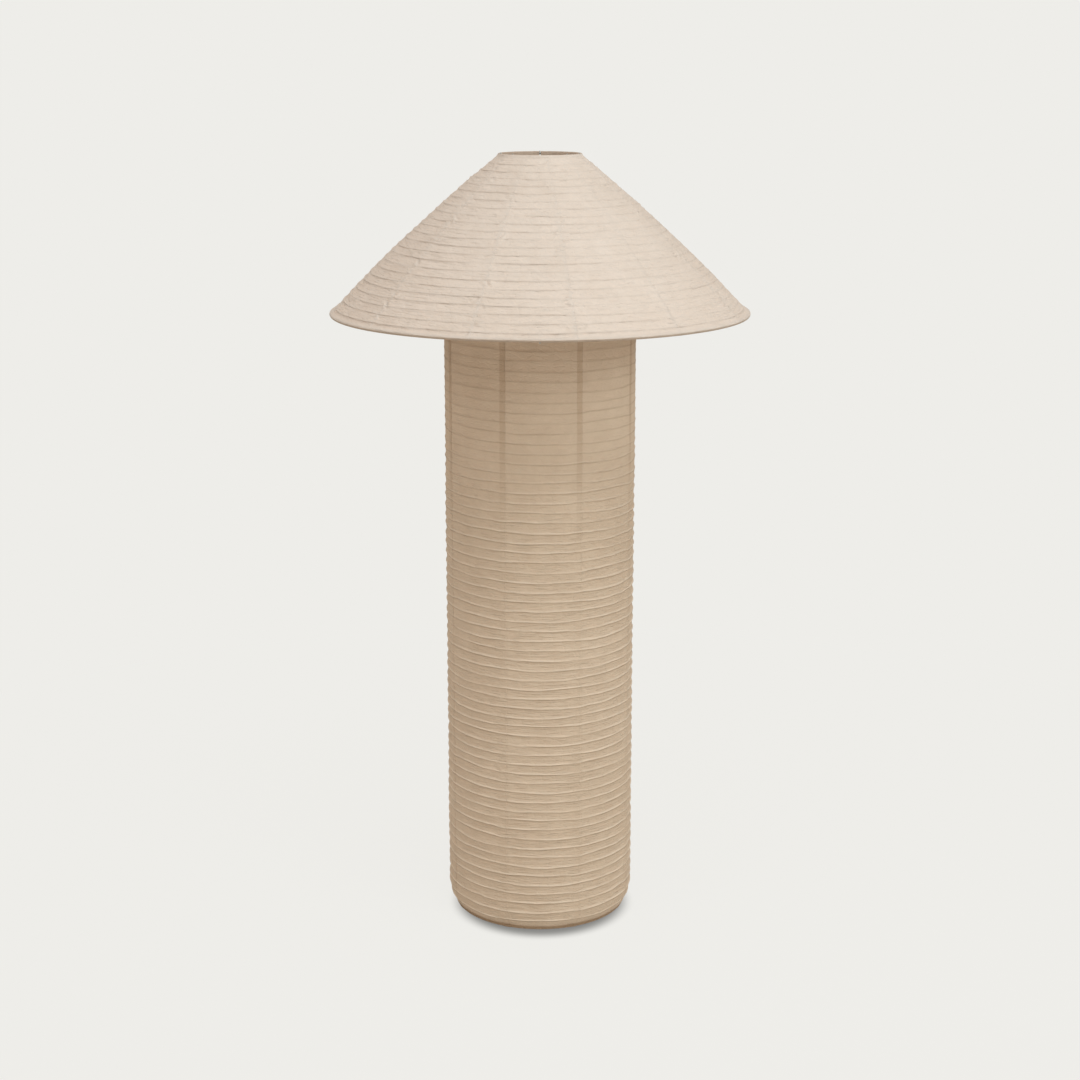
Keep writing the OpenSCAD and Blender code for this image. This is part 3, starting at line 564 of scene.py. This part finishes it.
class Nodes:
    """Short calls for building the nodes of a new material or world."""

    def __init__(self, name, kind="Material"):
        self.made = (bpy.data.worlds if kind == "World" else bpy.data.materials).new(name)
        self.made.use_nodes = True
        self.tree = self.made.node_tree
        self.tree.nodes.clear()
        self.out = self.add("ShaderNodeOutput" + kind)
        if kind == "Material":
            self.coords = self.add("ShaderNodeTexCoord").outputs["Object"]

    def add(self, kind, **values):
        node = self.tree.nodes.new(kind)
        for key, value in values.items():
            setattr(node, key, value)
        return node

    def put(self, socket, value):
        if isinstance(value, bpy.types.NodeSocket):
            self.tree.links.new(value, socket)
        else:
            socket.default_value = value

    def scaled(self, *scale):
        node = self.add("ShaderNodeMapping")
        self.put(node.inputs["Vector"], self.coords)
        node.inputs["Scale"].default_value = scale
        return node.outputs["Vector"]

    def noise(self, scale, detail, rough, vector=None, distort=0.0):
        node = self.add("ShaderNodeTexNoise")
        self.put(node.inputs["Vector"], vector or self.coords)
        node.inputs["Scale"].default_value = scale
        node.inputs["Detail"].default_value = detail
        node.inputs["Roughness"].default_value = rough
        node.inputs["Distortion"].default_value = distort
        return node.outputs["Fac"]

    def cells(self, scale, vector):
        node = self.add("ShaderNodeTexVoronoi", feature="DISTANCE_TO_EDGE")
        self.put(node.inputs["Vector"], vector)
        node.inputs["Scale"].default_value = scale
        return node.outputs["Distance"]

    def span(self, value, source, target=(0.0, 1.0), ramp="LINEAR"):
        """The value brought from the source's range into the target's."""
        node = self.add("ShaderNodeMapRange", interpolation_type=ramp)
        self.put(node.inputs["Value"], value)
        for key, v in zip(("From Min", "From Max", "To Min", "To Max"), (*source, *target)):
            node.inputs[key].default_value = v
        return node.outputs["Result"]

    def math(self, operation, a, b):
        node = self.add("ShaderNodeMath", operation=operation)
        self.put(node.inputs[0], a)
        self.put(node.inputs[1], b)
        return node.outputs[0]

    def vector(self, operation, a, b=(0.0, 0.0, 0.0)):
        node = self.add("ShaderNodeVectorMath", operation=operation)
        self.put(node.inputs[0], a)
        self.put(node.inputs[1], b)
        return node.outputs["Value" if operation in ("LENGTH", "DISTANCE") else "Vector"]

    def mix(self, factor, a, b, blend="MIX"):
        node = self.add("ShaderNodeMix", data_type="RGBA", blend_type=blend)
        self.put(node.inputs[0], factor)
        self.put(node.inputs[6], a)
        self.put(node.inputs[7], b)
        return node.outputs[2]

    def attribute(self, name):
        return self.add("ShaderNodeAttribute", attribute_name=name).outputs["Fac"]

    def bump(self, height, distance, strength, normal=None):
        node = self.add("ShaderNodeBump")
        node.inputs["Strength"].default_value = strength
        node.inputs["Distance"].default_value = distance
        self.put(node.inputs["Height"], height)
        if normal is not None:
            self.put(node.inputs["Normal"], normal)
        return node.outputs["Normal"]

    def seen(self):
        """1 for what the camera sees, in a mirror or through glass too."""
        rays = self.add("ShaderNodeLightPath").outputs
        seen = rays["Is Camera Ray"]
        for ray in ("Is Glossy Ray", "Is Transmission Ray"):
            seen = self.math("MAXIMUM", seen, rays[ray])
        return seen

    def shader(self, kind, color, **inputs):
        """A shader with one colour; inputs are its other sockets."""
        node = self.add(kind)
        self.put(node.inputs["Color"], color)
        for key, value in inputs.items():
            self.put(node.inputs[key], value)
        return node.outputs[0]

    def principled(self, color, rough, metal=0.0, specular=0.5, normal=None):
        node = self.add("ShaderNodeBsdfPrincipled")
        self.put(node.inputs["Base Color"], color)
        self.put(node.inputs["Roughness"], rough)
        node.inputs["Metallic"].default_value = metal
        node.inputs["Specular IOR Level"].default_value = specular
        if normal is not None:
            self.put(node.inputs["Normal"], normal)
        return node.outputs["BSDF"]

    def blended(self, factor, a, b):
        node = self.add("ShaderNodeMixShader")
        for socket, value in zip(node.inputs, (factor, a, b)):
            self.put(socket, value)
        return node.outputs[0]

    def finish(self, shader):
        self.put(self.out.inputs["Surface"], shader)
        return self.made


MIDDLE = (0.3, 0.7)  # the range that most of a noise lies in
THROUGH = 0.3  # share of the light that goes through paper or opal glass
# Tints of lines on the paper: the seam, wire and hem tints darken it partly as painted shade, and
# the crest colour is a painted highlight.
SEAM_SHADE_TINT, WIRE_AND_SHADE_TINT = (0.74, 0.65, 0.565, 1.0), (0.70, 0.64, 0.585, 1.0)
HEM_SHADE_TINT, PAINTED_HIGHLIGHT_COLOR = (0.66, 0.57, 0.49, 1.0), linear(250, 236, 216)


def paper_material(name, pale, deep, glow, wire_and_shade_lines, hem_shades, seams=0.0, painted_highlights=0.0):
    """wires, hems, seams and crests say how much of those lines shows (0-1). The wire line is the
    wire seen through the paper with painted shade under its ridge; the hem tint is doubled paper
    with painted shade on the undersides and inside the hat's opening; the seam tint is the gores'
    overlap with painted shade where less light comes through it; the crest colour is a painted
    highlight.
    """
    n = Nodes(name)
    cloud = n.noise(7.0, 4.0, 0.6)
    patch = n.noise(38.0, 3.0, 0.6, distort=0.4)
    fibre = n.noise(900.0, 2.0, 0.6, vector=n.scaled(1.0, 1.0, 0.28), distort=0.6)
    fibre_b = n.noise(520.0, 2.0, 0.6, vector=n.scaled(0.35, 0.35, 1.0), distort=0.8)
    both_fibres = n.math("ADD", fibre, fibre_b)
    fleck = n.span(n.noise(260.0, 2.0, 0.7), (0.69, 0.78))
    shade = n.math("ADD", n.span(cloud, MIDDLE, (0.0, 0.5)), n.span(patch, MIDDLE, (0.0, 0.5)))
    color = n.mix(shade, deep, pale)
    fibres = n.span(both_fibres, (0.75, 1.25))
    color = n.mix(n.math("MULTIPLY", fibres, 0.10), color, tinted(pale, 1.15))
    color = n.mix(n.math("MULTIPLY", fleck, 0.16), color, tinted(deep, 0.62))
    for line, share, tint, blend in (
        ("seam", seams, SEAM_SHADE_TINT, "MULTIPLY"),
        ("wire", wire_and_shade_lines, WIRE_AND_SHADE_TINT, "MULTIPLY"),
        ("crest", painted_highlights, PAINTED_HIGHLIGHT_COLOR, "MIX"),
        ("hem", hem_shades, HEM_SHADE_TINT, "MULTIPLY"),
    ):
        if share:
            amount = n.math("MULTIPLY", n.attribute(line), share)
            color = n.mix(amount, color, tint, blend)
    crush = n.span(n.cells(62.0, n.scaled(1.0, 1.0, 1.7)), (0.0, 0.12))
    crinkle = n.noise(95.0, 3.0, 0.6, vector=n.scaled(1.0, 1.0, 3.6), distort=0.5)
    crinkle = n.math("ADD", n.math("MULTIPLY", crush, 0.3), crinkle)
    streaks = n.noise(115.0, 2.0, 0.5, vector=n.scaled(0.34, 0.34, 3.2), distort=0.3)
    streaks = n.math("MULTIPLY", streaks, n.attribute("loose"))
    normal = n.bump(crinkle, distance=0.0012, strength=0.6)
    normal = n.bump(streaks, distance=0.0032, strength=0.8, normal=normal)
    normal = n.bump(both_fibres, distance=0.00012, strength=0.5, normal=normal)
    rough = n.span(patch, MIDDLE, (0.78, 0.9))
    front = n.principled(color, rough, specular=0.22, normal=normal)
    back = n.shader("ShaderNodeBsdfTranslucent", n.mix(0.55, color, glow), Normal=normal)
    return n.finish(n.blended(THROUGH, front, back))


def painted(name, color, rough, grain=650.0, depth=0.00006, worn=None):
    n = Nodes(name)
    fine = n.noise(grain, 3.0, 0.6)
    broad = n.noise(14.0, 3.0, 0.6)
    c = n.mix(n.span(broad, MIDDLE, (0.0, 0.35)), color, tinted(color, 1.6, 0.004))
    if worn is not None:
        edge = n.span(n.noise(90.0, 4.0, 0.7), (0.66, 0.72))
        c = n.mix(n.math("MULTIPLY", edge, 0.35), c, worn)
    rough = n.span(fine, MIDDLE, (rough - 0.06, rough + 0.08))
    normal = n.bump(fine, distance=depth, strength=0.6)
    return n.finish(n.principled(c, rough, specular=0.45, normal=normal))


def metal(name, color, rough, streak=(1.0, 1.0, 1.0), scale=300.0, dull=0.75):
    n = Nodes(name)
    lines = n.noise(scale, 3.0, 0.6, vector=n.scaled(*streak))
    stain = n.noise(22.0, 4.0, 0.65)
    c = n.mix(n.span(stain, (0.35, 0.75)), color, tinted(color, dull))
    rough = n.math("ADD", n.span(lines, MIDDLE, (rough - 0.05, rough + 0.07)),
                   n.span(stain, (0.4, 0.8), (0.0, 0.12)))
    normal = n.bump(lines, distance=0.00003, strength=0.4)
    return n.finish(n.principled(c, rough, metal=1.0, normal=normal))


def moulded(name, color, rough, depth=0.00005, specular=0.5, fleck=0.9):
    n = Nodes(name)
    fine, broad = n.noise(420.0, 3.0, 0.6), n.noise(26.0, 3.0, 0.55)
    c = n.mix(n.span(broad, MIDDLE), color, tinted(color, fleck))
    rough = n.span(fine, MIDDLE, (rough - 0.05, rough + 0.08))
    normal = n.bump(fine, distance=depth, strength=0.5)
    return n.finish(n.principled(c, rough, specular=specular, normal=normal))


def opal_glass(name):
    n = Nodes(name)
    cloud = n.noise(60.0, 2.0, 0.5)
    c = n.mix(n.span(cloud, MIDDLE), linear(244, 241, 233), linear(236, 231, 220))
    front = n.principled(c, n.span(cloud, MIDDLE, (0.10, 0.16)))
    return n.finish(n.blended(THROUGH, front, n.shader("ShaderNodeBsdfTranslucent", c)))


SLOTS = {
    "column_paper": paper_material(
        "column_paper_look", linear(223, 203, 179), linear(211, 189, 164),
        linear(240, 196, 150), wire_and_shade_lines=0.8, hem_shades=1.0, seams=0.55, painted_highlights=0.42),
    "shade_paper": paper_material(
        "shade_paper_look", linear(227, 216, 205), linear(219, 206, 193),
        linear(236, 200, 160), wire_and_shade_lines=0.3, hem_shades=0.9),
    "rib_wire": metal("rib_wire_look", linear(150, 140, 128), 0.42, scale=500.0),
    "frame_wire": metal("frame_wire_look", linear(176, 173, 167), 0.34, scale=420.0),
    "black_paint": painted(
        "black_paint_look", linear(38, 36, 35), 0.52, worn=linear(70, 68, 66)),
    "dark_tube": painted(
        "dark_tube_look", linear(44, 42, 41), 0.40, grain=900.0, depth=0.00003),
    "zinc_steel": metal(
        "zinc_steel_look", linear(186, 188, 190), 0.30, scale=260.0, dull=0.82),
    "rubber": moulded(
        "rubber_look", linear(34, 33, 32), 0.72, depth=0.0001, specular=0.3, fleck=1.4),
    "brass": metal("brass_look", linear(192, 158, 104), 0.40, scale=380.0, dull=0.7),
    "holder_plastic": moulded("holder_plastic_look", linear(236, 230, 214), 0.36, fleck=0.95),
    "porcelain": moulded(
        "porcelain_look", linear(243, 241, 234), 0.18, depth=0.00002, fleck=0.96),
    "bulb_cap": metal(
        "bulb_cap_look", linear(196, 194, 188), 0.28, streak=(1.0, 1.0, 6.0), dull=0.8),
    "bulb_glass": opal_glass("bulb_glass_look"),
    "lead_sheath": moulded("lead_sheath_look", linear(226, 222, 210), 0.5, fleck=0.93),
    "white_plastic": moulded("white_plastic_look", linear(238, 236, 228), 0.42, fleck=0.95),
}

node_slot = {part["node"]: part["material_slot"] for part in frame["record"]["subparts"]}
for node, ob in frame["nodes"].items():
    look = SLOTS[node_slot[node]]
    if not ob.material_slots:
        ob.data.materials.append(look)
    for place in ob.material_slots:
        place.material = look


# ---- the paper and its hoops --------------------------------------------------------

def column_tilt(theta, hoop):
    """The hoops hang a little lower on the right, most under the hat; the two rings are level."""
    lean = np.interp(np.asarray(hoop) / COL_BAYS, (0.0, 0.35, 0.95, 1.0), (0.15, 0.8, 2.4, 0.0))
    return lean * np.sin(theta)


def hat_tilt(theta, hoop):
    """The same for the hat, most at its middle."""
    w = np.asarray(hoop) / (HAT_BAYS + 1)
    return 0.9 * np.sin(theta - 0.2) * np.sin(math.pi * np.clip(w, 0, 1))


def column_slack(hoop):
    """The upper bays carry the weight of the lower ones and hang tighter."""
    return 1 - smooth((np.asarray(hoop) / COL_BAYS - 0.65) / 0.27)


def column_seam_shade_fade(hoop):
    """The overlaps show dark on the upper part and fade below it: the doubled paper's tint is
    partly painted shade for the light it holds back, which shows most in the hat's shadow.
    """
    return at_least(0.15, smooth((np.asarray(hoop) / COL_BAYS - 0.60) / 0.34))


def hat_slack(hoop):
    return at_least(0.75, smooth(np.asarray(hoop) / HAT_BAYS))


def hat_ease(theta):
    """The hat's paper is drawn tighter on its right-hand side."""
    return 1 - 0.55 * smooth((np.sin(theta + 0.25) - 0.25) / 0.6)


hat_pitch = hat_point(0)[2]
column_folds = make_folds(
    41, COL_SEAMS, lambda w: at_least(0.12, smooth((0.72 - w) / 0.25)), lambda w: COL_R,
    v_max=COL_BAYS * COL_PITCH, near_seam=330, elsewhere=620, size=1.0)
hat_folds = make_folds(
    42, HAT_SEAMS, lambda w: at_least(0.3, w),
    lambda w: HAT_TOP_R + (HAT_LOW_R - HAT_TOP_R) * w,
    v_max=HAT_BAYS * hat_pitch + 12, near_seam=420, elsewhere=420, size=2.6)

column_sheet = Paper(
    column_profile(), COL_SEAMS, 101, COL_BAYS, COL_PITCH, column_folds,
    dip=1.15, ridge=0.42, width=1.2, wave=1.35, sway=0.5, jog=1.4, fade=0.6,
    tilt=column_tilt, slack=column_slack, ease=np.ones_like)
hat_sheet = Paper(
    hat_profile(), HAT_SEAMS, 202, HAT_BAYS, hat_pitch, hat_folds,
    dip=0.50, ridge=0.75, width=1.2, wave=1.0, sway=0.8, jog=1.2, fade=0.75,
    tilt=hat_tilt, slack=hat_slack, ease=hat_ease)

skin("column_gore", column_sheet, COL_OVERLAP, COL_LIFT, column_seam_shade_fade, False,
     "column", "column_paper", "column_paper")
skin("hat_gore", hat_sheet, HAT_OVERLAP, HAT_LIFT, np.ones_like, True,
     "shade", "shade_paper", "shade_paper")
wire_hoops("column_hoops", column_sheet, range(1, COL_BAYS), COL_OVERLAP, 144,
           "column", "column_ribs", "rib_wire")
wire_hoops("hat_hoops", hat_sheet, range(0, HAT_BAYS + 1), HAT_OVERLAP, 192,
           "shade", "shade_ribs", "rib_wire")


# ---- floor, background and lights ---------------------------------------------------
# Sizes in metres.

BACK = linear(238, 237, 233)
FLOOR_SIZE, FLOOR_CELLS = 60.0, 8

# Ranges of the distance from the lamp's axis, and what the floor does over each: the share of
# plain background in it, near and far, and how dark the painted shadow at the lamp's foot is.
NEAR_RANGE, NEAR_SHARE = (0.16, 0.5), (0.94, 0.97)
FAR_RANGE, FAR_SHARE = (0.6, 1.6), (0.0, 0.03)
FRONT_RANGE, FRONT_SHADE = (0.118, 0.163), (0.28, 1.0)
ROUND_RANGE, ROUND_SHADE = (0.138, 0.150), (0.86, 1.0)
FRONT_OVAL, FRONT_CENTRE = (1.035, 1.0, 0.0), (0.002, -0.020, 0.0)

SKY_COLOR, SKY_STRENGTH = (1.0, 0.93, 0.85, 1.0), 0.725
LIGHT_DISTANCE, LIGHT_SIZE, LIGHT_TARGET = 4.2, 1.6, Vector((0, 0, 0.7))


def floor_material():
    """Matte, and for the camera mostly the plain background with a painted soft shadow at the
    foot.
    """
    n = Nodes("floor_look")
    grain = n.noise(30.0, 3.0, 0.5)
    color = n.mix(n.span(grain, (0.4, 0.6)), linear(236, 235, 231), linear(233, 232, 228))
    reach = n.vector("LENGTH", n.vector("MULTIPLY", n.coords, (1.0, 1.0, 0.0)))
    share = n.math("ADD", n.span(reach, NEAR_RANGE, NEAR_SHARE),
                   n.span(reach, FAR_RANGE, FAR_SHARE))
    shifted = n.vector("DISTANCE", n.vector("MULTIPLY", n.coords, FRONT_OVAL), FRONT_CENTRE)
    # A painted shadow: the background's glow is dimmed round the foot, more at the front.
    front = n.span(shifted, FRONT_RANGE, FRONT_SHADE, ramp="SMOOTHERSTEP")
    strength = n.math("MINIMUM", front, n.span(reach, ROUND_RANGE, ROUND_SHADE))
    return n.finish(n.blended(
        n.math("MULTIPLY", n.seen(), share), n.shader("ShaderNodeBsdfDiffuse", color),
        n.shader("ShaderNodeEmission", BACK, Strength=strength)))


bpy.ops.mesh.primitive_grid_add(
    x_subdivisions=FLOOR_CELLS, y_subdivisions=FLOOR_CELLS, size=FLOOR_SIZE, location=(0, 0, 0))
floor = bpy.context.object
floor.name = "studio_floor"
floor.data.materials.append(floor_material())

n = Nodes("studio", "World")
sky = n.shader("ShaderNodeBackground", SKY_COLOR, Strength=SKY_STRENGTH)
backdrop = n.shader("ShaderNodeBackground", BACK, Strength=1.0)
bpy.context.scene.world = n.finish(n.blended(n.seen(), sky, backdrop))

# Azimuth from the front, positive to the right, and elevation, in degrees; power; colour.
for name, azimuth, elevation, power, color in (
    ("key", 13, 60, 66, (0.86, 0.945, 1.0)),
    ("fill", -48, 38, 17, (0.86, 0.94, 1.0)),
    ("side", 48, 24, 52, (0.81, 0.94, 1.0)),
):
    data = bpy.data.lights.new(name, "AREA")
    data.size = LIGHT_SIZE
    data.energy = power
    data.color = color
    ob = bpy.data.objects.new(name, data)
    bpy.context.collection.objects.link(ob)
    a, e = math.radians(azimuth), math.radians(elevation)
    away = Vector((math.sin(a) * math.cos(e), -math.cos(a) * math.cos(e), math.sin(e)))
    ob.location = LIGHT_TARGET + away * LIGHT_DISTANCE
    ob.rotation_euler = away.to_track_quat("Z", "Y").to_euler()
